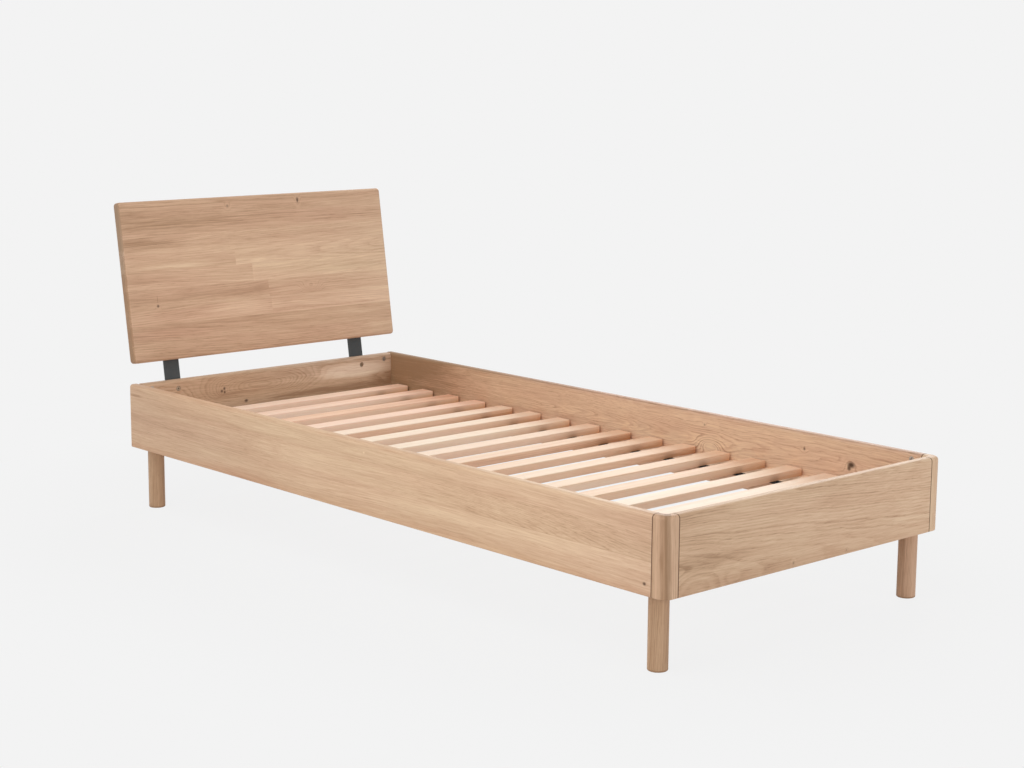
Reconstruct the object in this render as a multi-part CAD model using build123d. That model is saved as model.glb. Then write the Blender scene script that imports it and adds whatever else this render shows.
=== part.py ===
from build123d import *
import math
import os

# A single bed frame in oak, in millimetres. X runs across the bed, Y towards the head, Z up.
# The origin lies on the floor, under the middle of the whole bed with its leaning headboard.

# Frame
bed_width = 960.0
bed_length = 2105.0
leg_height = 171.0
rail_height = 182.0
rail_thickness = 28.0
rail_top_radius = 9.0
rail_bottom_radius = 3.0
rail_end_radius = 2.5
seam_chamfer = 1.2

# Corner pieces at the foot, an L seen from above
corner_wing = 12.5
corner_radius = 24.0
corner_inner_radius = 4.0

# Legs and the blocks that carry them
leg_diameter = 46.0
leg_inset_side = 43.5
leg_inset_foot = 58.0
leg_inset_head = 61.5
leg_bottom_radius = 3.0
leg_top_chamfer = 0.6
block_width = 80.0
block_length = 84.0
block_height = 36.0
block_chamfer = 10.0
block_relief_room = 1.0
stud_diameter = 8.0
stud_length = 60.0
stud_in_leg = 32.0
insert_diameter = 12.0
insert_length = 24.0

# Ledgers and the slat roll
ledger_width = 20.0
ledger_height = 30.0
ledger_drop = 112.0
ledger_end_gap = 6.0
ledger_edge_radius = 1.5
slat_width = 50.0
slat_thickness = 20.0
slat_edge_radius = 2.0
slat_end_gap = 8.0
slat_pitch = 121.8
slat_head_gap = 42.5
webbing_width = 32.0
webbing_thickness = 1.5
webbing_inset = 104.0

# Headboard, measured up its slope from where the straps bend at the rail's top
headboard_inset = 8.0
headboard_height = 460.0
headboard_thickness = 28.0
headboard_gap = 56.0
headboard_tilt = 9.0
headboard_corner_radius = 10.0
headboard_edge_radius = 7.0

# Headboard straps
strap_width = 50.0
strap_thickness = 5.0
strap_inset = 145.0
strap_bend_radius = 8.0
strap_corner_radius = 8.0
strap_overlap = 300.0
strap_bolt_drops = (25.0, 130.0)
strap_end_margin = 25.0
headboard_screw_margin = 30.0
headboard_screw_count = 3

# Corner joints: a cam lock near the top, two dowels below it
cam_drop = 16.0
cam_setback = 28.5
cam_diameter = 15.0
cam_past_axis = 4.5
cam_recess = 0.3
cam_slot_width = 2.4
cam_slot_length = 9.0
cam_slot_depth = 3.0
cam_bolt_neck = 5.0
cam_bolt_head = 7.0
cam_bolt_head_length = 4.0
cam_bolt_thread = 7.0
cam_bolt_thread_length = 11.0
dowel_diameter = 8.0
dowel_in_rail = 20.0
dowel_cover = 10.0
dowel_drops = (62.0, 122.0)
dowel_chamfer = 1.0

# Screws and bolts
screw_cover = 7.0
screw_tip = 5.0
ledger_screw_diameter = 4.5
ledger_screw_head = 9.0
ledger_screw_head_height = 2.6
ledger_screw_pitch = 280.0
ledger_screw_margin = 60.0
block_screw_diameter = 5.0
block_screw_head = 9.5
block_screw_head_height = 3.0
block_screw_seat = 25.0
block_screw_clear = 1.0
block_screw_low = 10.0
block_screw_high = 27.0
block_screw_inset = 18.0
headboard_screw_diameter = 5.0
headboard_screw_head = 10.0
headboard_screw_head_height = 3.0
headboard_screw_cover = 9.0
bolt_diameter = 8.0
bolt_head_diameter = 13.0
bolt_head_height = 8.0
bolt_head_recess = 0.5
bolt_head_clear = 1.0
bolt_socket = 6.0
bolt_socket_depth = 4.0
bolt_end = 2.0
washer_diameter = 16.0
washer_thickness = 1.6
nut_width = 13.0
nut_height = 6.5

# A screw's domed head: its flat top's share of the width, its straight rim's share of the height
pan_head_flat = 0.7
pan_head_rim = 0.4

# Room around a piece that sits in a hole
fit = 0.15

# The most of a board's thickness that one rounded edge takes up
round_share = 0.45

# Places that follow from those sizes
tilt = math.radians(headboard_tilt)
half_width = bed_width / 2
side_inner = half_width - rail_thickness
rail_bottom = leg_height
rail_top = leg_height + rail_height
top_radius = min(rail_top_radius, round_share * rail_thickness)
bottom_radius = min(rail_bottom_radius, round_share * rail_thickness)
corner_length = rail_thickness + corner_wing
block_relief = corner_inner_radius + block_relief_room
headboard_width = bed_width - 2 * headboard_inset
strap_spacing = bed_width - 2 * strap_inset
headboard_top = headboard_gap + headboard_height
headboard_round = min(headboard_edge_radius, round_share * headboard_thickness)
overhang = (
    (headboard_top - headboard_round) * math.sin(tilt)
    + headboard_round * (1 - math.cos(tilt))
)
foot_y = -(bed_length + overhang) / 2
head_y = foot_y + bed_length
foot_inner = foot_y + rail_thickness
head_inner = head_y - rail_thickness
ledger_top = rail_top - ledger_drop
slat_top = ledger_top + slat_thickness
slat_length = 2 * (side_inner - slat_end_gap)
webbing_spacing = slat_length - 2 * webbing_inset
slat_room = head_inner - foot_inner - slat_head_gap - slat_width
slat_count = int(slat_room // slat_pitch) + 1
cam_depth = rail_thickness / 2 + cam_past_axis
dowel_in_side = rail_thickness - dowel_cover
screw_bite = rail_thickness - screw_cover
headboard_bite = headboard_thickness - headboard_screw_cover

# The headboard's own plane: X across, Y up the slope, Z out of its front, zero on the straps' front
headboard_plane = Plane(
    origin=(0, head_y, rail_top),
    x_dir=(1, 0, 0),
    z_dir=(0, -math.cos(tilt), math.sin(tilt)),
)


def mirrored(shape):
    """The same piece on the other side of the bed."""
    return shape.mirror(Plane.YZ)


def both_sides(shapes):
    """Each piece and its mirror image."""
    return [side for shape in shapes for side in (shape, mirrored(shape))]


def aimed(x, y, z, direction):
    """A plane at a point whose Z looks along a direction."""
    return Plane(origin=(x, y, z), z_dir=direction)


# Fasteners, each along +Z from the face that its head bears on


def cylinder(diameter, low, high):
    """A round bar along Z between two heights."""
    return Pos(0, 0, low) * Cylinder(
        diameter / 2, high - low, align=(Align.CENTER, Align.CENTER, Align.MIN)
    )


def turned(points):
    """A solid turned about Z from its half profile."""
    return revolve(make_face(Plane.XZ * Polyline(*points, close=True)), Axis.Z)


def countersunk_screw(diameter, head, head_height, length, room=0.0):
    """A screw with a flat head, or the hole for one where there is room around it."""
    shank = diameter / 2 + room
    return turned([
        (0, 0),
        (head / 2 + room, 0),
        (shank, head_height + room),
        (shank, length - screw_tip),
        (0, length + room),
    ])


def pan_screw(diameter, head, head_height, length, room=0.0):
    """A screw with a low domed head, or the hole for one where there is room around it."""
    shank = diameter / 2 + room
    rim = head / 2 + room
    return turned([
        (0, -head_height - room),
        (pan_head_flat * rim, -head_height - room),
        (rim, -pan_head_rim * head_height),
        (rim, 0),
        (shank, 0),
        (shank, length - screw_tip),
        (0, length + room),
    ])


# Corner joints
#
# A joint's plane has its origin on the rail's end, at the rail's top and the middle of its
# thickness. X runs into the rail, Y to the bed's inside and Z down.


side_foot_joint = Plane(
    origin=(-half_width + rail_thickness / 2, foot_y + corner_length, rail_top),
    x_dir=(0, 1, 0),
    z_dir=(0, 0, -1),
)
foot_joint = Plane(
    origin=(half_width - corner_length, foot_y + rail_thickness / 2, rail_top),
    x_dir=(-1, 0, 0),
    z_dir=(0, 0, -1),
)
head_joint = Plane(
    origin=(-side_inner, head_y - rail_thickness / 2, rail_top),
    x_dir=(1, 0, 0),
    z_dir=(0, 0, -1),
)
joint_planes = [side_foot_joint, foot_joint, head_joint]


def at_cam(shape):
    """A shape along Z turned to look in from the inner face, over the cam's axis."""
    face = Plane(origin=(cam_setback, rail_thickness / 2, cam_drop), z_dir=(0, -1, 0))
    return face * shape


def along_rail(shape, drop):
    """A shape along Z turned to run into the rail, at a drop below its top."""
    return Plane(origin=(0, 0, drop), z_dir=(1, 0, 0)) * shape


def cam_bolt(room=0.0):
    """The bolt that a cam pulls on: thread in one piece, neck and head in the other."""
    thread = cylinder(cam_bolt_thread + 2 * room, -cam_bolt_thread_length - room, 0)
    neck = cylinder(cam_bolt_neck + 2 * room, 0, cam_setback)
    head_low = cam_setback - cam_bolt_head_length / 2 - room
    head_high = cam_setback + cam_bolt_head_length / 2 + room
    head = cylinder(cam_bolt_head + 2 * room, head_low, head_high)
    return along_rail(thread + neck + head, cam_drop)


def cam_bolt_bore():
    """The hole in a rail's end that lets the bolt's head through to the cam."""
    width = cam_bolt_head + 2 * fit
    high = cam_setback + cam_bolt_head_length / 2 + fit
    return along_rail(cylinder(width, 0, high), cam_drop)


def cam_lock():
    """A cam lock, cross slotted, open at its side for the bolt."""
    body = cylinder(cam_diameter, cam_recess, cam_depth)
    slot_high = cam_recess + cam_slot_depth
    slot_middle = (cam_recess + slot_high) / 2
    slot = Pos(0, 0, slot_middle) * Box(cam_slot_length, cam_slot_width, cam_slot_depth)
    body = body - slot - Rot(0, 0, 90) * slot
    return at_cam(body) - cam_bolt_bore()


def cam_hole():
    """The blind hole in a rail's inner face that a cam lock sits in."""
    return at_cam(cylinder(cam_diameter + 2 * fit, 0, cam_depth))


def dowels(room=0.0):
    """A joint's wooden dowels, or their holes where there is room around them."""
    bars = []
    for drop in dowel_drops:
        bar = cylinder(dowel_diameter + 2 * room, -dowel_in_side - room, dowel_in_rail + room)
        if not room:
            bar = chamfer(bar.edges().filter_by(GeomType.CIRCLE), dowel_chamfer)
        bars.append(along_rail(bar, drop))
    return bars


def rail_end_cuts(plane):
    """The holes that a joint needs in the rail whose end it is."""
    return [plane * cut for cut in (cam_hole(), cam_bolt_bore(), *dowels(fit))]


def butted_cuts(plane):
    """The holes that a joint needs in the piece that the rail's end meets."""
    return [plane * cut for cut in (cam_bolt(fit), *dowels(fit))]


# Legs and their blocks


def leg_places():
    """Names and centres of the four legs, with the way to the bed's inside along X and Y."""
    x = half_width - leg_inset_side
    low_y = foot_y + leg_inset_foot
    high_y = head_y - leg_inset_head
    return {
        "foot_left": (-x, low_y, 1, 1),
        "foot_right": (x, low_y, -1, 1),
        "head_left": (-x, high_y, 1, -1),
        "head_right": (x, high_y, -1, -1),
    }


def leg():
    """A round leg standing on the floor, bored for its stud."""
    body = cylinder(leg_diameter, 0, leg_height)
    body = fillet(body.edges().sort_by(Axis.Z)[0], leg_bottom_radius)
    body = chamfer(body.edges().sort_by(Axis.Z)[-1], leg_top_chamfer)
    bore_low = leg_height - stud_in_leg
    return body - cylinder(stud_diameter + 2 * fit, bore_low, leg_height)


def leg_stud():
    """The stud that ties a leg to its block."""
    low = leg_height - stud_in_leg
    return cylinder(stud_diameter, low, low + stud_length)


def leg_insert():
    """The threaded bush in a block."""
    bush = cylinder(insert_diameter, rail_bottom, rail_bottom + insert_length)
    return bush - cylinder(stud_diameter + 2 * fit, rail_bottom, rail_bottom + insert_length)


def block_screw_planes(way_x, way_y):
    """Seats of a block's two screws: one into the side rail, one into the end rail."""
    corner_x = -way_x * side_inner
    corner_y = foot_inner if way_y > 0 else head_inner
    side_seat = aimed(
        corner_x + way_x * block_screw_seat,
        corner_y + way_y * (block_length - block_screw_inset),
        rail_bottom + block_screw_low,
        (-way_x, 0, 0),
    )
    end_seat = aimed(
        corner_x + way_x * (block_width - block_screw_inset),
        corner_y + way_y * block_screw_seat,
        rail_bottom + block_screw_high,
        (0, -way_y, 0),
    )
    return side_seat, end_seat


def block_screw(room=0.0):
    """A screw from a block into a rail."""
    return pan_screw(
        block_screw_diameter,
        block_screw_head,
        block_screw_head_height,
        block_screw_seat + screw_bite,
        room,
    )


def corner_block(x, y, way_x, way_y):
    """A block in the corner of two rails, drilled for the leg's bush and its own screws."""
    corner_x = -way_x * side_inner
    corner_y = foot_inner if way_y > 0 else head_inner
    middle_x = corner_x + way_x * block_width / 2
    middle_y = corner_y + way_y * block_length / 2
    middle_z = rail_bottom + block_height / 2
    body = Pos(middle_x, middle_y, middle_z) * Box(block_width, block_length, block_height)

    def inwards(edge):
        """How far an upright edge lies from the corner of the rails."""
        return way_x * edge.center().X + way_y * edge.center().Y

    body = chamfer(body.edges().filter_by(Axis.Z).sort_by(inwards)[-1], block_chamfer)
    body = chamfer(body.edges().filter_by(Axis.Z).sort_by(inwards)[0], block_relief)
    bush_top = rail_bottom + insert_length
    stud_top = leg_height - stud_in_leg + stud_length
    cuts = [
        Pos(x, y) * cylinder(insert_diameter + 2 * fit, rail_bottom, bush_top),
        Pos(x, y) * cylinder(stud_diameter + 2 * fit, bush_top, stud_top + fit),
    ]
    counterbore = cylinder(block_screw_head + 2 * block_screw_clear, -block_width - block_length, 0)
    for seat in block_screw_planes(way_x, way_y):
        cuts += [seat * counterbore, seat * block_screw(fit)]
    return body - cuts


# Rails


def rail_section():
    """A rail's section: rounded along the top, eased along the bottom."""
    section = Rectangle(rail_thickness, rail_height)
    section = fillet(section.vertices().group_by(Axis.Y)[-1], top_radius)
    return fillet(section.vertices().group_by(Axis.Y)[0], bottom_radius)


def rail(length):
    """A rail along Y from the origin, its section over the origin."""
    section = Plane.XZ * Pos(0, rail_height / 2) * rail_section()
    return extrude(section, -length)


def end_face(body, axis, last):
    """The flat end of a rail."""
    return body.faces().sort_by(axis)[-1 if last else 0]


def ledger_screw_planes():
    """Places of the left ledger's screws, looking out into the rail."""
    start = foot_inner + ledger_end_gap + ledger_screw_margin
    stop = head_inner - ledger_end_gap - ledger_screw_margin
    count = max(2, round((stop - start) / ledger_screw_pitch) + 1)
    step = (stop - start) / (count - 1)
    middle = ledger_top - ledger_height / 2
    return [
        aimed(ledger_width - side_inner, start + step * number, middle, (-1, 0, 0))
        for number in range(count)
    ]


def ledger_screw(room=0.0):
    """A screw through a ledger into its side rail."""
    return countersunk_screw(
        ledger_screw_diameter,
        ledger_screw_head,
        ledger_screw_head_height,
        ledger_width + screw_bite,
        room,
    )


def side_rail_left():
    """The left side rail, from the foot's corner piece through to the head."""
    length = bed_length - corner_length
    body = Pos(-half_width + rail_thickness / 2, foot_y + corner_length, rail_bottom) * rail(length)
    body = chamfer(end_face(body, Axis.Y, False).edges(), seam_chamfer)
    body = fillet(end_face(body, Axis.Y, True).edges(), rail_end_radius)
    cuts = rail_end_cuts(side_foot_joint) + butted_cuts(head_joint)
    cuts += [place * ledger_screw(fit) for place in ledger_screw_planes()]
    cuts += [block_screw_planes(1, way)[0] * block_screw(fit) for way in (1, -1)]
    return body - cuts


def cross_rail(length, middle_y):
    """A rail across the bed, with eased ends."""
    body = Pos(-length / 2, middle_y, rail_bottom) * Rot(0, 0, -90) * rail(length)
    for last in (False, True):
        body = chamfer(end_face(body, Axis.X, last).edges(), seam_chamfer)
    return body


def foot_rail():
    """The rail between the two corner pieces."""
    body = cross_rail(bed_width - 2 * corner_length, foot_y + rail_thickness / 2)
    cuts = both_sides(rail_end_cuts(foot_joint))
    cuts += both_sides([block_screw_planes(1, 1)[1] * block_screw(fit)])
    return body - cuts


def head_rail():
    """The rail between the side rails, drilled for the strap bolts."""
    body = cross_rail(2 * side_inner, head_y - rail_thickness / 2)
    cuts = both_sides(rail_end_cuts(head_joint))
    cuts += both_sides([block_screw_planes(1, -1)[1] * block_screw(fit)])
    sink = bolt_head_height + bolt_head_recess
    hole = cylinder(bolt_head_diameter + 2 * bolt_head_clear, 0, sink)
    hole += cylinder(bolt_diameter + 2 * fit, sink, rail_thickness)
    cuts += [place * hole for place in strap_bolt_planes()]
    return body - cuts


def corner_post_left():
    """A corner piece: an L from above, rounded outside, over the rails' own section."""
    thick = rail_thickness
    outline = make_face(
        Polyline(
            (0, 0),
            (corner_length, 0),
            (corner_length, thick),
            (thick, thick),
            (thick, corner_length),
            (0, corner_length),
            close=True,
        )
    )
    outline = fillet(outline.vertices().sort_by_distance((0, 0))[0], corner_radius)
    outline = fillet(outline.vertices().sort_by_distance((thick, thick))[0], corner_inner_radius)
    body = extrude(outline, rail_height)

    def off_seam(edge):
        """Whether an edge of the top or bottom runs along the piece and not across a seam."""
        return not math.isclose(max(edge.center().X, edge.center().Y), corner_length)

    body = fillet(body.faces().sort_by(Axis.Z)[-1].edges().filter_by(off_seam), top_radius)
    body = fillet(body.faces().sort_by(Axis.Z)[0].edges().filter_by(off_seam), bottom_radius)
    body = chamfer(end_face(body, Axis.X, True).edges(), seam_chamfer)
    body = chamfer(end_face(body, Axis.Y, True).edges(), seam_chamfer)
    body = Pos(-half_width, foot_y, rail_bottom) * body
    cuts = butted_cuts(side_foot_joint) + [mirrored(cut) for cut in butted_cuts(foot_joint)]
    return body - cuts


# Slat roll


def ledger_left():
    """The strip on the left side rail that the slats lie on."""
    length = head_inner - foot_inner - 2 * ledger_end_gap
    middle = (ledger_width / 2 - side_inner, (foot_inner + head_inner) / 2, ledger_top - ledger_height / 2)
    body = Pos(*middle) * Box(ledger_width, length, ledger_height)
    inner_edges = body.edges().filter_by(Axis.Y).sort_by(Axis.X)[-2:]
    body = fillet(inner_edges, ledger_edge_radius)
    return body - [place * ledger_screw(fit) for place in ledger_screw_planes()]


def slat_middle(number):
    """A slat's middle along the bed, counted from the head."""
    return head_inner - slat_head_gap - slat_width / 2 - number * slat_pitch


def slat(number):
    """A pine slat with eased edges, lying on both ledgers."""
    section = RectangleRounded(slat_width, slat_thickness, slat_edge_radius)
    bar = extrude(Plane.YZ * section, slat_length)
    return Pos(-slat_length / 2, slat_middle(number), ledger_top + slat_thickness / 2) * bar


def webbing_left():
    """The tape under the slats."""
    head_end = slat_middle(0) + slat_width / 2
    foot_end = slat_middle(slat_count - 1) - slat_width / 2
    middle = (-webbing_spacing / 2, (head_end + foot_end) / 2, ledger_top - webbing_thickness / 2)
    return Pos(*middle) * Box(webbing_width, head_end - foot_end, webbing_thickness)


# Headboard and its straps


def strap_bolt_planes():
    """Places of the strap bolts on the head rail's inner face, looking out."""
    return [
        aimed(side * strap_spacing / 2, head_inner, rail_top - drop, (0, 1, 0))
        for side in (-1, 1)
        for drop in strap_bolt_drops
    ]


def headboard_screw_planes():
    """Places of the screws on the straps' back, looking forward into the board."""
    low = headboard_gap + headboard_screw_margin
    high = headboard_gap + strap_overlap - strap_end_margin
    step = (high - low) / (headboard_screw_count - 1)
    return [
        headboard_plane * Pos(side * strap_spacing / 2, low + step * number, -strap_thickness)
        for side in (-1, 1)
        for number in range(headboard_screw_count)
    ]


def headboard_screw(room=0.0):
    """A screw through a strap into the board."""
    return pan_screw(
        headboard_screw_diameter,
        headboard_screw_head,
        headboard_screw_head_height,
        strap_thickness + headboard_bite,
        room,
    )


def headboard():
    """The leaning panel, rounded on every edge."""
    middle = Pos(0, headboard_gap + headboard_height / 2, headboard_thickness / 2)
    panel = Box(headboard_width, headboard_height, headboard_thickness)
    panel = fillet(panel.edges().filter_by(Axis.Z), headboard_corner_radius)
    faces = panel.faces().sort_by(Axis.Z)
    panel = fillet(faces[0].edges() + faces[-1].edges(), headboard_round)
    panel = headboard_plane * middle * panel
    return panel - [place * headboard_screw(fit) for place in headboard_screw_planes()]


def strap_bolt():
    """A socket head bolt, its head sunk below the rail's inner face."""
    seat = bolt_head_recess + bolt_head_height
    end = rail_thickness + strap_thickness + washer_thickness + nut_height + bolt_end
    bolt = cylinder(bolt_head_diameter, bolt_head_recess, seat) + cylinder(bolt_diameter, seat, end)
    socket = RegularPolygon(bolt_socket / 2, 6, major_radius=False)
    return bolt - extrude(Pos(0, 0, bolt_head_recess) * socket, bolt_socket_depth)


def strap_washer():
    """A washer on a strap's outer face."""
    low = rail_thickness + strap_thickness
    high = low + washer_thickness
    return cylinder(washer_diameter, low, high) - cylinder(bolt_diameter + 2 * fit, low, high)


def strap_nut():
    """A hexagon nut on its washer."""
    low = rail_thickness + strap_thickness + washer_thickness
    body = extrude(Pos(0, 0, low) * RegularPolygon(nut_width / 2, 6, major_radius=False), nut_height)
    return body - cylinder(bolt_diameter + 2 * fit, low, low + nut_height)


def headboard_strap_left():
    """A flat bar, bolted to the head rail's outer face and bent back behind the board."""
    half = strap_thickness / 2
    low = rail_top - max(strap_bolt_drops) - strap_end_margin
    bend = Vector(0, head_y + half, rail_top - half * math.tan(tilt / 2))
    reach = headboard_gap + strap_overlap
    top = bend + Vector(0, math.sin(tilt), math.cos(tilt)) * reach
    path = FilletPolyline((0, bend.Y, low), bend, top, radius=strap_bend_radius + half)
    section = Plane(origin=(0, bend.Y, low), z_dir=(0, 0, 1)) * Rectangle(strap_width, strap_thickness)
    bar = sweep(section, path=path)
    short_edges = bar.edges().filter_by(lambda edge: math.isclose(edge.length, strap_thickness))
    ends = short_edges.sort_by(Axis.Z)
    bar = fillet(ends[:2] + ends[-2:], strap_corner_radius)
    bar = Pos(-strap_spacing / 2, 0, 0) * bar
    bolt_hole = cylinder(bolt_diameter + 2 * fit, rail_thickness, rail_thickness + strap_thickness)
    cuts = [place * bolt_hole for place in strap_bolt_planes()]
    cuts += [place * headboard_screw(fit) for place in headboard_screw_planes()]
    return bar - cuts


def group(shapes):
    """Equal fasteners kept together as one sub-part."""
    return Compound(children=[solid for shape in shapes for solid in shape.solids()])


def fasteners():
    """Every group of equal fasteners."""
    legs = leg_places().values()
    block_seats = [seat for x, y, way_x, way_y in legs for seat in block_screw_planes(way_x, way_y)]
    return {
        "cam_locks": group(both_sides([plane * cam_lock() for plane in joint_planes])),
        "cam_bolts": group(both_sides([plane * cam_bolt() for plane in joint_planes])),
        "rail_dowels": group(both_sides([plane * bar for plane in joint_planes for bar in dowels()])),
        "leg_studs": group([Pos(x, y) * leg_stud() for x, y, way_x, way_y in legs]),
        "leg_inserts": group([Pos(x, y) * leg_insert() for x, y, way_x, way_y in legs]),
        "block_screws": group([seat * block_screw() for seat in block_seats]),
        "ledger_screws": group(both_sides([place * ledger_screw() for place in ledger_screw_planes()])),
        "strap_bolts": group([place * strap_bolt() for place in strap_bolt_planes()]),
        "strap_washers": group([place * strap_washer() for place in strap_bolt_planes()]),
        "strap_nuts": group([place * strap_nut() for place in strap_bolt_planes()]),
        "headboard_screws": group([place * headboard_screw() for place in headboard_screw_planes()]),
    }


def bed():
    """Every sub-part by name."""
    parts = {"foot_rail": foot_rail(), "head_rail": head_rail(), "headboard": headboard()}
    pairs = {
        "side_rail": side_rail_left(),
        "corner_post": corner_post_left(),
        "ledger": ledger_left(),
        "webbing": webbing_left(),
        "headboard_strap": headboard_strap_left(),
    }
    for name, shape in pairs.items():
        parts[name + "_left"] = shape
        parts[name + "_right"] = mirrored(shape)
    for name, (x, y, way_x, way_y) in leg_places().items():
        parts["leg_" + name] = Pos(x, y) * leg()
        parts["corner_block_" + name] = corner_block(x, y, way_x, way_y)
    for number in range(slat_count):
        parts[f"slat_{number + 1:02d}"] = slat(number)
    parts.update(fasteners())
    return parts


os.makedirs("parts", exist_ok=True)
for name, shape in bed().items():
    export_step(shape, f"parts/{name}.step")
    print(name, round(shape.volume))
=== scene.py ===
# %% [markdown]
# # A single bed frame in oak
#
# The bed is a knock-down frame: four oak rails, two rounded corner pieces at the foot, four round
# legs, a leaning headboard on steel straps, and a roll of pine slats that lies loose inside.
# All of those pieces come from the frame with their real shape, so this lesson is mostly about
# finishes: how to grow wood in shader nodes, board by board, from the log that each was sawn from.

# %% Load the frame
import math
import random

import bmesh
import bpy
from mathutils import Matrix, Vector


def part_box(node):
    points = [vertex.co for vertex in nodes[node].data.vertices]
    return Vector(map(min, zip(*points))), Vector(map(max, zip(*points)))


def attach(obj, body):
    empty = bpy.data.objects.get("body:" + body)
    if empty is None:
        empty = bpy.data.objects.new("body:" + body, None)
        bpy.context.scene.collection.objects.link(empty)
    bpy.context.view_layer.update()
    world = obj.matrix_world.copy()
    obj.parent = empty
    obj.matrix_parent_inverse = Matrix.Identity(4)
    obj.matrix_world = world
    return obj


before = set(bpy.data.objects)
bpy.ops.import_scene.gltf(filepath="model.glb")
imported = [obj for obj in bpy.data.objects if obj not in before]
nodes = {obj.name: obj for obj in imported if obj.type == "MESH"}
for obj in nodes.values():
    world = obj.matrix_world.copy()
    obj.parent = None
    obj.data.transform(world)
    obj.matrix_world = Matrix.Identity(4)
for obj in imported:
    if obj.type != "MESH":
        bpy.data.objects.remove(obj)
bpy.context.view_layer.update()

# %% [markdown]
# ## The camera
#
# The bed is seen from beyond its left foot corner, a little above the eye of someone who sits.
# The place, the three turns and the lens follow from the bed's own edges: with them, its corners
# fall where the picture has them. A long lens keeps the lines of the rails nearly parallel.

# %% Camera
camera_place = Vector((-3.4127, -3.8427, 1.3297))
camera_yaw = math.radians(42.225)
camera_pitch = math.radians(9.867)
camera_roll = math.radians(0.4135)
camera_lens = 69.60
sensor_width = 36.0

camera_data = bpy.data.cameras.new("camera")
camera_data.lens = camera_lens
camera_data.sensor_width = sensor_width
camera_data.sensor_fit = "HORIZONTAL"
camera = bpy.data.objects.new("camera", camera_data)
camera.matrix_world = (
    Matrix.Translation(camera_place)
    @ Matrix.Rotation(-camera_yaw, 4, "Z")
    @ Matrix.Rotation(math.pi / 2 - camera_pitch, 4, "X")
    @ Matrix.Rotation(camera_roll, 4, "Z")
)
bpy.context.scene.collection.objects.link(camera)
bpy.context.scene.camera = camera
bpy.context.scene.view_settings.view_transform = "Standard"
print("camera at", [round(value, 3) for value in camera_place])

# %% [markdown]
# ## A small kit for finishes
#
# A finish is a tree of shader nodes. Written out link by link, such a tree is hard to read, so this
# class gives each kind of node a short method that adds it and hands back its output. A finish then
# reads like a formula, from the point on the piece to the colour, the gloss and the bump.


# %% The finish class
class Finish:
    """A material under construction."""

    def __init__(self, name, **shader_values):
        self.material = bpy.data.materials.new(name)
        self.material.use_nodes = True
        self.tree = self.material.node_tree
        self.shader = self.tree.nodes["Principled BSDF"]
        for socket, value in shader_values.items():
            self.shader.inputs[socket.replace("_", " ")].default_value = value
        self.place = self.add("TexCoord").outputs["Object"]

    def add(self, kind, inputs=(), **options):
        """Adds a node. Inputs are values or other nodes' outputs, by position."""
        node = self.tree.nodes.new("ShaderNode" + kind)
        for option, value in options.items():
            setattr(node, option, value)
        for number, value in enumerate(inputs):
            self.feed(node.inputs[number], value)
        return node

    def feed(self, socket, value):
        """Links an output to a socket, or sets the socket's own value."""
        if isinstance(value, bpy.types.NodeSocket):
            self.tree.links.new(value, socket)
        elif value is not None:
            socket.default_value = value

    def math(self, operation, *values):
        return self.add("Math", values, operation=operation).outputs[0]

    def vector(self, operation, *values):
        node = self.add("VectorMath", values, operation=operation)
        return node.outputs["Value" if operation == "LENGTH" else "Vector"]

    def split(self, vector):
        return self.add("SeparateXYZ", [vector]).outputs

    def join(self, x, y, z):
        return self.add("CombineXYZ", [x, y, z]).outputs[0]

    def turned(self, vector, place, turn):
        """The same point as seen from a place, along axes that are turned."""
        return self.add("Mapping", [vector, place, turn], vector_type="TEXTURE").outputs[0]

    def noise(self, vector, cells, detail=2.0, roughness=0.5):
        """Soft noise with so many cells to the metre along each axis: its value and its colour."""
        stretched = self.vector("MULTIPLY", vector, cells)
        return self.add("TexNoise", [stretched, None, 1.0, detail, roughness]).outputs

    def step(self, value, low, high, low_to=0.0, high_to=1.0):
        """A smooth step from one value to another."""
        inputs = [value, low, high, low_to, high_to]
        return self.add("MapRange", inputs, interpolation_type="SMOOTHSTEP").outputs[0]

    def chance(self, number):
        """Three numbers from 0 to 1 that belong to a whole number."""
        node = self.add("TexWhiteNoise", [None, number], noise_dimensions="1D")
        return self.split(node.outputs["Color"])

    def reach(self, point, centre, size):
        """The distance from a centre, counted in sizes. A size of 0 leaves that axis out."""
        offset = self.vector("SUBTRACT", point, centre)
        scale = tuple(1 / length if length else 0.0 for length in size)
        return self.vector("LENGTH", self.vector("MULTIPLY", offset, scale))

    def mix(self, factor, first, second, beyond=False):
        """A colour between two colours, or beyond them."""
        node = self.add("Mix", data_type="RGBA", clamp_factor=not beyond)
        for number, value in ((0, factor), (6, first), (7, second)):
            self.feed(node.inputs[number], value)
        return node.outputs[2]

    def choose(self, factor, first, second):
        """The first vector where the factor is 0, the second where it is 1."""
        node = self.add("Mix", data_type="VECTOR")
        for number, value in ((0, factor), (4, first), (5, second)):
            self.feed(node.inputs[number], value)
        return node.outputs[1]

    def surface(self, socket, value):
        """Feeds one of the surface's own sockets, by its name."""
        self.feed(self.shader.inputs[socket], value)

    def bump(self, height, strength, distance):
        node = self.add("Bump", [strength, distance])
        self.feed(node.inputs["Height"], height)
        self.surface("Normal", node.outputs[0])

    def dress(self, *names):
        """Puts the finish on nodes of the frame."""
        for name in names:
            nodes[name].material_slots[0].material = self.material


print("finish kit ready")

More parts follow.
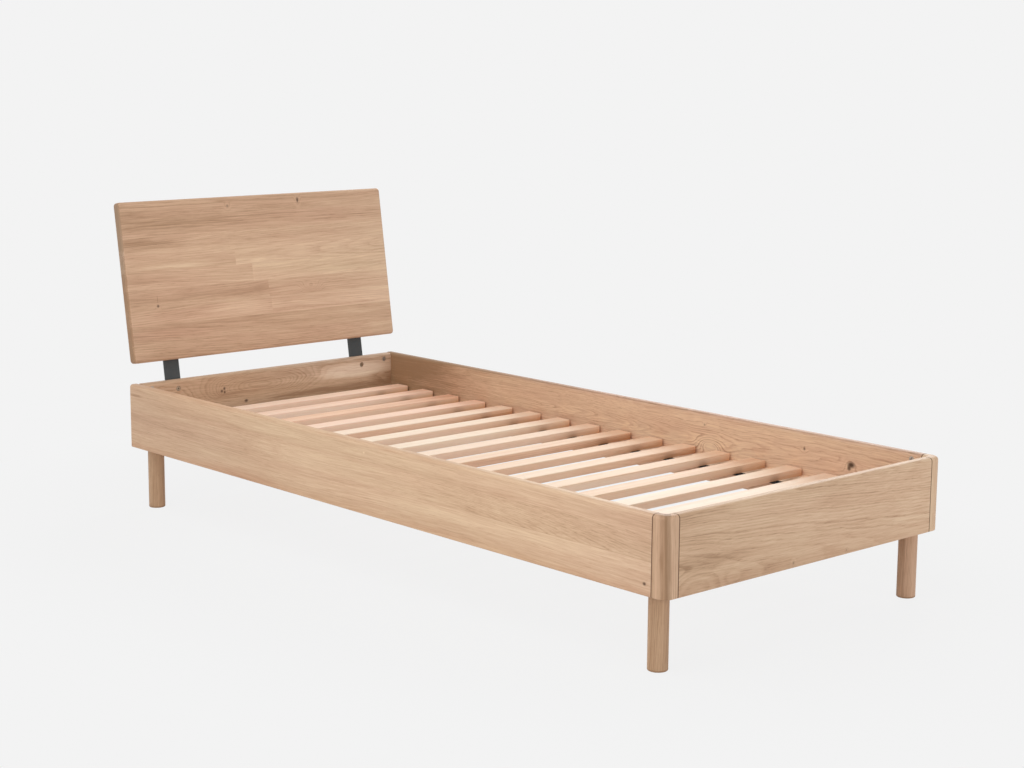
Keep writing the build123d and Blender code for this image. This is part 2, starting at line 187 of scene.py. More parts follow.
# %% [markdown]
# ## Wood, from the log to the board
#
# A board shows arches, straight lines or rings because it is a slice of a log, and the log is a
# stack of nested cones. So a wooden finish first works out where a point lies in its log, with X
# along the heart. The distance from the heart, counted in ring widths, gives the growth rings, and
# end grain then comes out right by itself. A plain stripe texture would be quicker, but it looks
# the same on every face of a board.
#
# No trunk is a perfect cone: a slow drift and a quick ripple bend the rings. An eye lifts them into
# closed ovals, as where a branch sat just under the face.


# %% Growth rings
def bent_log(finish, log, wave):
    """The point in a log that is bent as a real trunk is, across its grain, with waves so deep."""
    middle = (0.5, 0.5, 0.5)
    drift = finish.vector("SUBTRACT", finish.noise(log, (0.9, 3.0, 3.0), detail=1.0)[1], middle)
    ripple = finish.vector("SUBTRACT", finish.noise(log, (7.0, 20.0, 20.0))[1], middle)
    bent = finish.vector("MULTIPLY_ADD", drift, (0, 0.05, 0.05), log)
    return finish.vector("MULTIPLY_ADD", ripple, (0, wave, wave), bent)


def growth_rings(finish, bent, ring, lift):
    """How much each point shows the porous early wood of its ring, from 0 to 1."""
    radius = finish.vector("LENGTH", finish.vector("MULTIPLY", bent, (0, 1, 1)))
    count = finish.math("ADD", finish.math("DIVIDE", radius, ring), lift)
    years = finish.math("MULTIPLY", count, 0.35)
    uneven = finish.add("TexNoise", [None, years, 1.0, 1.0, 0.5], noise_dimensions="1D")
    count = finish.math("MULTIPLY_ADD", uneven.outputs[0], 1.2, count)
    age = finish.math("FRACT", count)
    strength = finish.chance(finish.math("FLOOR", count))[0]
    begins = finish.step(age, 0.0, 0.12)
    ends = finish.step(age, 0.16, 0.70, 1.0, 0.0)
    early = finish.math("MULTIPLY", begins, ends)
    return finish.math("MULTIPLY", early, finish.math("MULTIPLY_ADD", strength, 0.8, 0.2))


print("rings ready")

# %% [markdown]
# ## Fibres, pores and marks
#
# On top of the rings come the things that a closer look shows: bands and fibres drawn out along the
# grain, and in oak the open pores, short dark dashes that crowd in the early part of each ring.
# All of them add to one number, the shade, and the shade picks a colour between a pale, a middle
# and a dark one. A single scale keeps every mark within the range of colours that the wood has.
# A slow noise then gives the colour a faint blush, as some of the wood holds more red.
#
# Marks are placed one by one, in the piece's own axes. Clouds make the wood softly darker or paler.
# Stains multiply its colour, for wood that is redder or greyer than its shade. Some clouds and stains
# are painted light and shade instead, such as painted shadows and warm bounce light; each piece says
# which. Knots are dark with rings swept around them, and grooves are dark lines of painted shade in the
# V grooves, with the oil and dust that gather there.

# %% Marks
knot_colour = (0.095, 0.050, 0.028, 1)
knot_swell = 4.0
knot_rings = 1.5
groove_shade_and_oil_colour = (0.150, 0.080, 0.043, 1)
groove_shade_and_oil_strength = 0.92


def cover(finish, point, centre, size, softness):
    """How much a mark covers each point: 1 inside and 0 outside, with an edge so soft."""
    return finish.step(finish.reach(point, centre, size), 1.0, 1.0 - softness)


def ring_lift(finish, point, knots, eyes):
    """How many rings the eyes add to the count. The wood around a knot is an eye too."""
    lift = 0.0
    for centre, size, darkness in knots:
        eyes = (*eyes, (centre, tuple(knot_swell * length for length in size), knot_rings))
    for centre, size, rings in eyes:
        rise = finish.step(finish.reach(point, centre, size), 0.0, 1.0, rings, 0.0)
        lift = finish.math("ADD", lift, rise)
    return lift


def marked(finish, colour, point, stains, knots, grooves):
    """The colour under its stains and painted shade, with the knots and the grooves drawn over it."""
    for centre, size, tint, softness in stains:
        stain = finish.mix(cover(finish, point, centre, size, softness), (1, 1, 1, 1), tint)
        colour = finish.vector("MULTIPLY", colour, stain)
    for centre, size, darkness in knots:
        core = finish.step(finish.reach(point, centre, size), 1.4, 0.3, 0.0, darkness)
        colour = finish.mix(core, colour, knot_colour)
    for centre, size in grooves:
        line = finish.step(finish.reach(finish.place, centre, size), 1.0, 0.3, 0.0, groove_shade_and_oil_strength)
        colour = finish.mix(line, colour, groove_shade_and_oil_colour)
    return colour


print("marks ready")

# %% Wood
oil_gloss = 0.3
along_x = (0.0, 0.0, 0.0)
along_y = (0.0, 0.0, math.pi / 2)
along_z = (0.0, -math.pi / 2, 0.0)


def wood(finish, log, point, ring, colours, tone=0.5, figure=0.20, streaks=0.75, grain=0.40, pores=0.30,
         wave=0.004, knots=(), eyes=(), clouds=(), stains=(), grooves=()):
    """Grows wood over a finish. The log gives the grain, the point on the piece places the marks."""
    bent = bent_log(finish, log, wave)
    early = growth_rings(finish, bent, ring, ring_lift(finish, point, knots, eyes))
    patches = finish.noise(log, (0.9, 8.0, 8.0))[0]
    bands = finish.noise(bent, (0.8, 30.0, 30.0), detail=3.0)[0]
    flakes = finish.noise(bent, (10.0, 330.0, 330.0))[0]
    fibres = finish.noise(bent, (9.0, 700.0, 700.0), detail=3.0, roughness=0.65)[0]
    dashes = finish.step(finish.noise(bent, (40.0, 800.0, 800.0))[0], 0.52, 0.70)
    dashes = finish.math("MULTIPLY", dashes, finish.math("MULTIPLY_ADD", early, 0.7, 0.3))

    shade = tone
    layers = (
        (early, 0.2, figure),
        (patches, 0.5, 0.6),
        (bands, 0.5, streaks),
        (flakes, 0.5, grain),
        (fibres, 0.5, 0.48),
        (dashes, 0.15, pores),
    )
    for layer, mean, weight in layers:
        shade = finish.math("MULTIPLY_ADD", finish.math("SUBTRACT", layer, mean), weight, shade)
    for centre, size, change, softness in clouds:
        cloud = cover(finish, point, centre, size, softness)
        shade = finish.math("MULTIPLY_ADD", cloud, change, shade)

    pale, middle, dark = colours
    to_middle = finish.math("MINIMUM", finish.math("MULTIPLY", shade, 2.0), 1.0)
    to_dark = finish.math("MULTIPLY_ADD", shade, 2.0, -1.0)
    colour = finish.mix(to_middle, pale, middle, beyond=True)
    colour = finish.mix(to_dark, colour, dark)
    redness = finish.step(finish.noise(log, (1.5, 14.0, 14.0))[0], 0.35, 0.65)
    blush = finish.mix(redness, (0.996, 1.005, 0.996, 1), (1.004, 0.988, 0.992, 1))
    colour = finish.vector("MULTIPLY", colour, blush)
    colour = marked(finish, colour, point, stains, knots, grooves)

    finish.surface("Base Color", colour)
    finish.surface("Roughness", finish.math("MULTIPLY_ADD", fibres, 0.18, 0.44))
    finish.bump(finish.math("MULTIPLY_ADD", dashes, -1.0, fibres), 0.25, 0.0004)
    return finish


def wooden(name, heart, turn, **growth):
    """A finish for a piece that is sawn from one log, given the log's heart and its turn."""
    finish = Finish(name, Specular_IOR_Level=oil_gloss)
    log = finish.turned(finish.place, heart, turn)
    return wood(finish, log, finish.place, **growth)


print("wood is growing")

# %% [markdown]
# ## Oak and pine
#
# The frame is European oak under a clear matt oil: honey coloured in some boards, a little rosier
# in others. The slats are planed pine without any finish, much paler and without pores. Each wood
# is three colours and a ring width, and an oak board takes a share of the rosy colours, so that no
# two match exactly.

# %% Oak and pine
oak_honey = ((0.790, 0.595, 0.408, 1), (0.615, 0.408, 0.257, 1), (0.375, 0.218, 0.120, 1))
oak_rose = ((0.780, 0.560, 0.380, 1), (0.605, 0.380, 0.258, 1), (0.370, 0.218, 0.126, 1))
oak_ring = 0.0036
pine_pale = ((0.962, 0.785, 0.620, 1), (0.890, 0.645, 0.460, 1), (0.620, 0.355, 0.210, 1))
pine = {"ring": 0.0030, "colours": pine_pale, "pores": 0.0}


def oak(rose):
    """Oak colours with a share of the rosy ones."""
    return tuple(
        tuple(honey + (rosy - honey) * rose for honey, rosy in zip(*pair))
        for pair in zip(oak_honey, oak_rose)
    )


print("oak and pine ready")

# %% [markdown]
# ## The near side rail
#
# The left rail is glued up from three boards. The middle one was sawn close to the heart, so it
# shows long arches at the foot end, where the face cuts through cone after cone; the other two are
# straight. Each board gets a log of its own, and the height of the point chooses between them.
#
# The middle log leans, so its heart comes nearer to the face from the foot on. A smooth minimum lets
# that slope level out, and the arches run out into straight lines. Just under the lower glue joint, the
# foot end has a pale band of sapwood. The V groove against the corner piece is modelled in the frame,
# and here it gets its dark line: painted shade in the groove, and the oil and dust that gather there.

# %% Near rail boards
near_low, near_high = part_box("side_rail_left")
near_joints = (near_low.z + 0.0775, near_low.z + 0.135)
lower_heart = (near_low.x - 0.14, 0.0, near_low.z - 0.05)
upper_heart = (near_low.x - 0.11, 0.0, near_low.z + 0.30)
middle_depth = near_low.x + 0.055
middle_height = near_low.z + 0.069
middle_slope = 0.065
slope_length = 0.70
slope_rounding = 0.30

near = Finish("oak_near_rail", Specular_IOR_Level=oil_gloss)
near_depth, near_along, near_height = near.split(near.place)
near_lower = near.turned(near.place, lower_heart, (0, 0.004, math.pi / 2))
near_upper = near.turned(near.place, upper_heart, (0, -0.004, math.pi / 2))
from_foot = near.math("SUBTRACT", near_along, near_low.y)
from_foot = near.math("SMOOTH_MIN", from_foot, slope_length, slope_rounding)
to_heart = near.math("SUBTRACT", near_depth, middle_depth)
near_middle = near.join(
    near_along,
    near.math("MULTIPLY_ADD", from_foot, middle_slope, to_heart),
    near.math("SUBTRACT", near_height, middle_height),
)
above_first, above_second = [near.math("GREATER_THAN", near_height, joint) for joint in near_joints]
near_log = near.choose(above_second, near.choose(above_first, near_lower, near_middle), near_upper)
print("near rail joints at", [round(joint, 3) for joint in near_joints])

# %% Near rail finish
groove_width = 0.0020
is_middle = near.math("SUBTRACT", above_first, above_second)
arches = near.math("MULTIPLY", is_middle, near.step(near_along, 0.0, -0.60))
is_lower = near.math("SUBTRACT", 1.0, above_first)
under_joint = near.step(near_height, near_joints[0] - 0.030, near_joints[0] - 0.004)
pale_band = near.math("MULTIPLY", is_lower, under_joint)
pale_band = near.math("MULTIPLY", pale_band, near.step(near_along, -0.46, -0.80))
near_tone = near.math("MULTIPLY_ADD", arches, 0.16, 0.37)
wood(
    near, near_log, near.place, ring=0.0034, colours=oak(0.5),
    tone=near.math("MULTIPLY_ADD", pale_band, -0.24, near_tone),
    figure=near.math("MULTIPLY_ADD", arches, 0.12, 0.05),
    streaks=0.80,
    grain=0.70,
    knots=[((near_low.x, -1.032, 0.198), (0, 0.005, 0.004), 0.9)],
    clouds=[
        ((near_low.x, 0.98, 0.324), (0, 0.05, 0.006), 0.35, 0.8),
        ((near_low.x, -0.10, 0.178), (0, 0.42, 0.010), 0.16, 0.8),
        ((near_low.x, -0.38, 0.187), (0, 0.32, 0.012), 0.20, 0.8),
        ((near_low.x, -0.071, 0.327), (0, 0.005, 0.003), -0.4, 0.6),
        ((near_low.x, -0.85, near_joints[0]), (0, 0.40, 0.0016), 0.14, 0.5),
        ((near_low.x, near_low.y, 0), (0, 0.16, 0), 0.07, 1.0),
        ((near_low.x, 0.75, 0.28), (0, 0.50, 0.06), 0.09, 1.0),
        ((near_low.x, 0.22, 0.25), (0, 0.28, 0.08), -0.16, 1.0),
        ((near_low.x, 0.38, 0.26), (0, 0.22, 0.12), 0.09, 1.0),
        ((near_low.x, 0.60, 0.235), (0, 0.45, 0.03), -0.08, 1.0),
        ((near_low.x, -0.75, near_high.z), (0, 0.35, 0.048), -0.14, 0.6),
    ],
    stains=[
        ((near_low.x, 1.0, 0.17), (0, 0.65, 0.10), (1.0, 0.97, 0.95, 1), 1.0),
        ((near_low.x, 0.70, near_high.z), (0, 0.46, 0.10), (0.95, 0.88, 0.84, 1), 1.0),
        ((near_low.x, 0.46, near_low.z), (0, 0.30, 0.05), (0.91, 0.85, 0.82, 1), 1.0),
        ((0, 0, near_low.z), (0, 0, 0.024), (0.97, 0.92, 0.89, 1), 1.0),
        ((0, -0.2, 0), (0, 0.90, 0), (1.00, 0.993, 0.965, 1), 0.5),
    ],
    grooves=[((0, near_low.y, 0), (0, groove_width, 0))],
).dress("side_rail_left")
print("near rail dressed")

# %% [markdown]
# ## The far side rail
#
# Its inner face is what shows. It is one board with quiet arches, an oval eye, one dark ringed knot and
# two pin knots. It darkens towards the head, most at its top, which is a painted shadow of the
# headboard, and its top face is darker too, painted shade against the light on it. An eye needs no
# separate mesh or texture: it lifts the ring count in a soft oval, and the rings close around it.

# %% Far side rail
far_low, far_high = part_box("side_rail_right")
far_eye = (far_low.x, -0.372, 0.268)
far_heart = (far_low.x + 0.030, -0.30, far_high.z - 0.070)
far = Finish("oak_far_rail", Specular_IOR_Level=oil_gloss)
far_log = far.turned(far.place, far_heart, (0, 0.0, math.pi / 2 + 0.030))
around_eye = far.step(far.reach(far.place, far_eye, (0, 0.11, 0.05)), 1.0, 0.5)
wood(
    far, far_log, far.place, ring=0.0030, colours=oak(1.0),
    tone=0.20,
    figure=far.math("MULTIPLY_ADD", around_eye, 0.40, 0.34),
    streaks=0.65,
    grain=0.95,
    pores=0.50,
    wave=0.013,
    knots=[
        ((far_low.x, -0.842, 0.293), (0, 0.012, 0.008), 1.0),
        ((far_low.x, -0.836, 0.284), (0, 0.006, 0.007), 0.9),
        ((far_low.x, -0.692, 0.310), (0, 0.004, 0.004), 0.7),
        ((far_low.x, -0.350, 0.322), (0, 0.003, 0.003), 0.5),
    ],
    eyes=[(far_eye, (0, 0.070, 0.032), 5.0)],
    clouds=[
        # Darker towards the head, and most at its top: a painted shadow of the headboard. The two paler
        # clouds after it sharpen that shadow's edge.
        ((far_low.x, 1.0, 0.28), (0, 0.70, 0), 0.84, 1.0),
        ((far_low.x, 0.86, far_high.z), (0, 0.26, 0.09), 0.24, 1.0),
        ((far_low.x, 0.625, 0.31), (0, 0.10, 0), -0.085, 1.0),
        ((far_low.x, 0.51, 0.31), (0, 0.11, 0.05), -0.16, 1.0),
        ((far_low.x, 0.28, 0.30), (0, 0.40, 0), 0.15, 1.0),
        ((far_low.x, -0.50, 0.31), (0, 0.36, 0.06), -0.09, 1.0),
        ((far_low.x, -0.21, 0.288), (0, 0.12, 0.022), 0.14, 1.0),
        # Darker along the top face: painted shade against the light that falls on it.
        ((0, 0, far_high.z), (0, 0, 0.020), 0.17, 1.0),
        ((0, 0, far_high.z), (0, 0, 0.0045), 0.40, 0.5),
    ],
    stains=[
        ((0, 0, 0), (0, 0, 0), (0.99, 0.957, 0.948, 1), 1.0),
        # The head end is tinted as well, part of the same painted shadow.
        ((far_low.x, 1.0, 0.28), (0, 0.90, 0), (0.95, 1.00, 0.93, 1), 1.0),
        ((far_low.x, 1.0, 0.28), (0, 0.32, 0), (0.92, 0.92, 0.94, 1), 0.3),
    ],
    grooves=[((0, far_low.y, 0), (0, groove_width, 0))],
).dress("side_rail_right")
print("far rail eye at", [round(value, 3) for value in far_eye])

# %% [markdown]
# ## The foot rail
#
# This board has fine wavy lines, a swirl at its lower left end and two small red knots. The log is
# turned a little, so the grain runs downhill to the right.

# %% Foot rail
foot_low, foot_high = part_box("foot_rail")
wooden(
    "oak_foot_rail",
    heart=(0.0, foot_low.y + 0.16, foot_low.z + 0.02),
    turn=(0, 0.030, 0.02),
    ring=oak_ring,
    colours=oak(0.25),
    tone=0.46,
    figure=0.26,
    streaks=0.45,
    grain=0.72,
    pores=0.40,
    wave=0.007,
    knots=[
        ((-0.064, foot_low.y, 0.183), (0.003, 0, 0.004), 0.45),
        ((0.124, foot_low.y, 0.181), (0.003, 0, 0.003), 0.35),
    ],
    eyes=[((-0.387, foot_low.y, 0.185), (0.130, 0, 0.055), 4.0)],
    clouds=[
        ((-0.38, foot_low.y, 0.236), (0.30, 0, 0.026), 0.32, 1.0),
        ((-0.42, foot_low.y, 0.230), (0.30, 0, 0), 0.13, 1.0),
        ((0.106, foot_low.y, 0.227), (0.060, 0, 0.0025), -0.22, 0.9),
        ((0.40, foot_low.y, 0.262), (0.35, 0, 0), -0.16, 1.0),
        ((0.06, foot_low.y, 0.270), (0.24, 0, 0.035), -0.11, 1.0),
        ((-0.42, foot_low.y, 0.345), (0.26, 0, 0.040), 0.12, 1.0),
        ((-0.21, foot_low.y, 0.184), (0.18, 0, 0.026), 0.16, 1.0),
    ],
    stains=[((0.0, foot_low.y, foot_low.z), (0, 0, 0.055), (0.90, 0.845, 0.82, 1), 1.0)],
    grooves=[((x, 0, 0), (groove_width, 0, 0)) for x in (foot_low.x, foot_high.x)],
).dress("foot_rail")
print("foot rail dressed")

# %% [markdown]
# ## The head rail
#
# Its inner face is full of figure: long ovals around a centre near the left end, with three small pin
# knots and a larger one, and to the right of them a paler stave. A wide eye with many rings gives the
# ovals. Along its bottom, just above the slats, and in its right corner it is darker: painted shadow.

# %% Head rail
head_low, head_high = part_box("head_rail")
wooden(
    "oak_head_rail",
    heart=(0.0, head_low.y + 0.20, head_high.z - 0.06),
    turn=along_x,
    ring=0.0026,
    colours=oak(-0.2),
    tone=0.71,
    figure=0.20,
    streaks=0.6,
    grain=0.70,
    wave=0.010,
    knots=[
        ((-0.186, head_low.y, 0.303), (0.0042, 0, 0.0048), 0.9),
        ((-0.177, head_low.y, 0.310), (0.0042, 0, 0.0048), 0.9),
        ((-0.176, head_low.y, 0.299), (0.0036, 0, 0.0042), 0.9),
        ((-0.100, head_low.y, 0.265), (0.007, 0, 0.005), 0.9),
    ],
    eyes=[((-0.05, head_low.y, 0.308), (0.30, 0, 0.062), 15.0)],
    clouds=[
        ((0.31, head_low.y, 0.315), (0.20, 0, 0.031), -0.50, 0.6),
        # Darker along the bottom just above the slats and in the right corner: painted shadow.
        ((0.22, head_low.y, 0.264), (0.36, 0, 0.018), 0.46, 0.9),
        ((0.47, head_low.y, 0.274), (0.13, 0, 0.042), 0.40, 1.0),
    ],
    stains=[
        ((0.0, head_low.y, 0.3), (0, 0, 0), (1.0, 1.01, 1.07, 1), 1.0),
        ((0.26, head_low.y, 0.345), (0.46, 0, 0.090), (1.17, 1.31, 1.46, 1), 0.9),
    ],
).dress("head_rail")
print("head rail dressed")

# %% [markdown]
# ## The headboard
#
# The panel is glued up from nine staves, some of them in two lengths that butt together. Such a
# panel is planned with a cutting list, and so is its finish: one line for each stave from the
# bottom up, with the shade of its left and right length and the place of the butt joint.
#
# The list goes into a colour ramp with hard steps, which is a neat way to hand three numbers for
# each stave to a shader: red and green carry the two shades, blue the joint. A white noise that
# reads the stave's number then gives every length its own log.

# %% Headboard staves
headboard_tilt = math.radians(9.0)
headboard_thickness = 0.028
board_low, board_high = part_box("headboard")
board_width = board_high.x - board_low.x
board_height = 0.460
board_base = (0.0, board_low.y, board_low.z + headboard_thickness * math.sin(headboard_tilt))
cutting_list = [
    (0.55, 0.55, 1.00),
    (0.58, 0.58, 1.00),
    (0.41, 0.28, 0.52),
    (0.51, 0.43, 0.515),
    (0.49, 0.26, 0.46),
    (0.29, 0.31, 0.40),
    (0.34, 0.34, 1.00),
    (0.54, 0.54, 1.00),
    (0.59, 0.59, 1.00),
]
stave_count = len(cutting_list)
stave_height = board_height / stave_count

panel = Finish("oak_headboard", Specular_IOR_Level=oil_gloss)
board = panel.turned(panel.place, board_base, (-headboard_tilt, 0, 0))
across, depth, up = panel.split(board)
row = panel.math("FLOOR", panel.math("DIVIDE", up, stave_height))
ramp = panel.add("ValToRGB", [panel.math("DIVIDE", panel.math("ADD", row, 0.5), stave_count)])
ramp.color_ramp.interpolation = "CONSTANT"
for number, stave in enumerate(cutting_list):
    steps = ramp.color_ramp.elements
    step = steps[number] if number < 2 else steps.new(number / stave_count)
    step.position = number / stave_count
    step.color = (*stave, 1)
left_shade, right_shade, joint = panel.split(ramp.outputs["Color"])
share = panel.math("MULTIPLY_ADD", across, 1 / board_width, 0.5)
is_right = panel.math("GREATER_THAN", share, joint)
shade_change = panel.math("SUBTRACT", right_shade, left_shade)
stave_shade = panel.math("MULTIPLY_ADD", is_right, shade_change, left_shade)
stave_number = panel.math("MULTIPLY_ADD", row, 2.0, is_right)
shift, deep, slope = panel.chance(stave_number)
print("staves:", stave_count, "of", round(stave_height * 1000, 1), "mm")

# %% Headboard finish
log_spacing = 3.0
shift_range = 0.20
slope_range = 0.07
least_depth = 0.02
depth_range = 0.09
lengthwise = panel.math("MULTIPLY_ADD", stave_number, log_spacing, across)
sideways = panel.math("SUBTRACT", up, panel.math("MULTIPLY", row, stave_height))
sideways = panel.math("MULTIPLY_ADD", panel.math("SUBTRACT", shift, 0.5), shift_range, sideways)
climb = panel.math("MULTIPLY", panel.math("SUBTRACT", slope, 0.5), slope_range)
sideways = panel.math("MULTIPLY_ADD", across, climb, sideways)
inward = panel.math("MULTIPLY_ADD", deep, depth_range, panel.math("ADD", depth, least_depth))
board_end = board_width / 2
wood(
    panel, panel.join(lengthwise, inward, sideways), board, ring=oak_ring, colours=oak(0.7),
    tone=stave_shade,
    figure=0.17,
    streaks=0.65,
    grain=0.80,
    wave=0.002,
    knots=[
        ((-0.104, 0, 0.431), (0.0045, 0, 0.0045), 0.5),
        ((0.151, 0, 0.437), (0.0042, 0, 0.0085), 0.85),
        ((-0.376, 0, 0.156), (0.0045, 0, 0.0045), 0.8),
    ],
    eyes=[((0.17, 0, 0.170), (0.060, 0, 0.030), 5.0)],
    clouds=[
        ((-board_end, 0, 0), (0.42, 0, 0), 0.12, 1.0),
        ((board_end, 0, 0), (0.52, 0, 0), -0.11, 1.0),
        ((-0.40, 0, 0.336), (0.20, 0, 0.024), 0.30, 0.9),
        ((-0.30, 0, 0.267), (0.22, 0, 0.010), -0.42, 0.9),
        ((-0.01, 0, 0.266), (0.05, 0, 0.010), -0.24, 0.9),
        ((-0.20, 0, 0.392), (0.14, 0, 0.010), 0.12, 0.9),
        ((-0.06, 0, 0.168), (0.15, 0, 0.022), 0.14, 0.9),
        ((-0.09, 0, 0.130), (0.17, 0, 0.030), -0.30, 0.8),
        ((-0.376, 0, 0.176), (0.0018, 0, 0.017), 0.35, 0.9),
        ((-board_end, 0, 0), (0.0055, 0, 0), 0.42, 0.6),
        ((board_end, 0, 0), (0.0055, 0, 0), 0.42, 0.6),
    ],
    stains=[
        ((0.10, 0, 0.126), (0.60, 0, 0.026), (1.00, 0.98, 0.99, 1), 0.2),
        ((-0.36, 0, 0.076), (0.20, 0, 0.030), (1.00, 0.97, 0.98, 1), 0.8),
        ((0.25, 0, 0.232), (0.28, 0, 0.030), (0.99, 1.02, 1.00, 1), 0.8),
        ((-board_end, 0, 0.36), (0.0055, 0, 0.16), (1.0, 1.10, 1.22, 1), 0.6),
    ],
).dress("headboard")
print("headboard dressed")

# %% [markdown]
# ## Corner pieces
#
# The two rounded corner pieces have upright grain. The left one has a dark streak of heartwood on
# its round, which leans a little. Its marks are easiest to place across the round, so they use axes
# that are turned by 45 degrees about the corner. The long streaks are clouds that leave out the
# upright axis, so they have no end, and two shorter ones lie over them.

# %% Left corner piece
streak_lean = math.radians(-1.5)
post_low, post_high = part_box("corner_post_left")
left_post = Finish("oak_corner_left", Specular_IOR_Level=oil_gloss)
left_log = left_post.turned(left_post.place, (post_low.x + 0.08, post_low.y - 0.09, 0), along_z)
across_corner = left_post.turned(left_post.place, tuple(post_low), (0, streak_lean, -math.pi / 4))
wood(
    left_post, left_log, across_corner, ring=oak_ring, colours=oak(0.3),
    tone=0.36,
    clouds=[
        ((-0.022, 0, 0), (0.024, 0, 0), 0.20, 0.5),
        ((-0.001, 0, 0), (0.015, 0, 0), 0.40, 1.0),
        ((0.0080, 0, 0), (0.0085, 0, 0), 0.35, 0.5),
        ((-0.006, 0, 0.085), (0.006, 0, 0.035), 0.20, 0.9),
        ((0.012, 0, 0.010), (0.006, 0, 0.050), -0.16, 0.9),
    ],
    stains=[((0.0080, 0, 0), (0.0085, 0, 0), (0.88, 0.90, 0.90, 1), 0.5)],
    grooves=[
        ((0, post_high.y, 0), (0, groove_width, 0)),
        ((post_high.x, 0, 0), (groove_width, 0, 0)),
    ],
).dress("corner_post_left")
print("left corner piece dressed")

# %% Right corner piece
far_post_low, far_post_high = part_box("corner_post_right")
wooden(
    "oak_corner_right",
    heart=(far_post_low.x - 0.05, far_post_low.y - 0.07, 0),
    turn=along_z,
    ring=oak_ring,
    colours=oak(0.3),
    tone=0.36,
    grooves=[
        ((0, far_post_high.y, 0), (0, groove_width, 0)),
        ((far_post_low.x, 0, 0), (groove_width, 0, 0)),
    ],
).dress("corner_post_right")
print("right corner piece dressed")

# %% [markdown]
# ## Legs
#
# The legs are turned from upright oak, and each comes from another place in the log, which a seeded
# draw picks. For each leg there is a shade and a share of the rosy colours. The right foot leg is
# darker on one half, the half on the camera's left. The lower rim of every leg is darker, a painted
# contact shadow against the floor.

# %% Legs
draw = random.Random(5)
contact_shadow_height = 0.006
dark_half_width = 0.030
dark_half_turn = math.radians(42.225)
leg_looks = {
    "leg_foot_left": (0.85, 0.2),
    "leg_foot_right": (0.67, 0.9),
    "leg_head_left": (0.82, 0.2),
    "leg_head_right": (0.76, 0.2),
}
for name, (shade, rose) in leg_looks.items():
    low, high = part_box(name)
    axis = (low + high) / 2
    # The lower rim is darker: a painted contact shadow against the floor.
    clouds = [((0, 0, low.z), (0, 0, contact_shadow_height), 0.6, 0.7)]
    # The right foot leg is darker on the half on the camera's left.
    if name == "leg_foot_right":
        away = Vector((-math.cos(dark_half_turn), math.sin(dark_half_turn), 0)) * dark_half_width
        dark_half_middle = (axis.x + away.x, axis.y + away.y, 0)
        clouds.append((dark_half_middle, (dark_half_width, dark_half_width, 0), 0.30, 0.1))
    wooden(
        "oak_" + name,
        heart=(axis.x + draw.uniform(0.03, 0.09), axis.y - draw.uniform(0.03, 0.08), 0),
        turn=along_z,
        ring=oak_ring,
        colours=oak(rose),
        tone=shade,
        clouds=clouds,
    ).dress(name)
print("legs:", len(leg_looks))

# %% [markdown]
# ## Slats, ledgers and blocks
#
# Slats are cut from cheap straight pine, so they differ from one to the next: most are pale, a few come
# from the darker heart. The seeded draw gives each its own log, and a list from the head down makes its
# top and its sides a little darker or paler, partly for the slat's own tone and partly as painted light
# and shade. The sides are warmer, which is painted warm bounce in the shade between the slats. At the
# right end the sides are darker and the top is darker and warmer, a painted shadow of the far rail with
# bounce from it. The tops are painted paler to the left, and the first four are rosier on top, a
# painted warm bounce in the headboard's shade. The ledgers and corner blocks are the same pine, and the
# hidden beech dowels take a darker shade of it.

# %% Slats
side_height = 0.0185
top_depth = 0.006
painted_bounce_count = 4
painted_bounce_top = (1.04, 0.965, 0.97, 1)
plain_top = (1.01, 1, 0.985, 1)
# Each pair shades a slat's top and its sides, from the head down: partly the slat's own tone, partly
# painted light and shade.
slat_tones_and_light = [
    (-0.20, 0.00), (-0.16, -0.18), (0.24, -0.28), (-0.30, 0.12), (-0.36, 0.50), (-0.38, 0.12),
    (-0.20, 0.02), (-0.20, -0.06), (0.00, 0.12), (0.20, 0.02), (0.00, 0.12), (0.22, -0.55),
    (0.18, -0.18), (-0.22, -0.05), (-0.24, 0.12), (0.00, 0.12), (0.00, 0.12),
]
slat_names = sorted(name for name in nodes if name.startswith("slat_"))
for name, (shade, side_tone_and_shade) in zip(slat_names, slat_tones_and_light):
    low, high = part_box(name)
    top_tint = painted_bounce_top if name in slat_names[:painted_bounce_count] else plain_top
    wooden(
        "pine_" + name,
        heart=(0, low.y + draw.uniform(-0.08, 0.08), low.z - draw.uniform(0.01, 0.07)),
        turn=(0, draw.uniform(-0.02, 0.02), draw.uniform(-0.02, 0.02)),
        tone=shade + draw.uniform(0.24, 0.36),
        # The sides take their listed shade, and the right end gets darker, a painted shadow of the far
        # rail; the top gets paler to the left, painted light.
        clouds=[
            ((0, 0, low.z), (0, 0, side_height), side_tone_and_shade, 0.1),
            ((high.x, 0, low.z), (0.30, 0, side_height), 0.42, 1.0),
            ((-0.12, 0, high.z), (0.30, 0, top_depth), -0.12, 1.0),
        ],
        # The sides get warmer, painted warm bounce; the right end darker and warmer, painted shade and
        # bounce from the far rail; the first four tops a rosy painted bounce, the rest a slight warm
        # tint.
        stains=[
            ((0, 0, low.z), (0, 0, side_height), (1.02, 0.95, 0.93, 1), 0.1),
            ((high.x, 0, low.z), (0.40, 0, 0.026), (0.82, 0.71, 0.60, 1), 0.9),
            ((high.x, 0, high.z), (0.22, 0, top_depth), (1.04, 0.965, 0.93, 1), 0.8),
            ((0, 0, high.z), (0, 0, top_depth), top_tint, 0.5),
        ],
        **pine,
    ).dress(name)
print("slats:", len(slat_names))

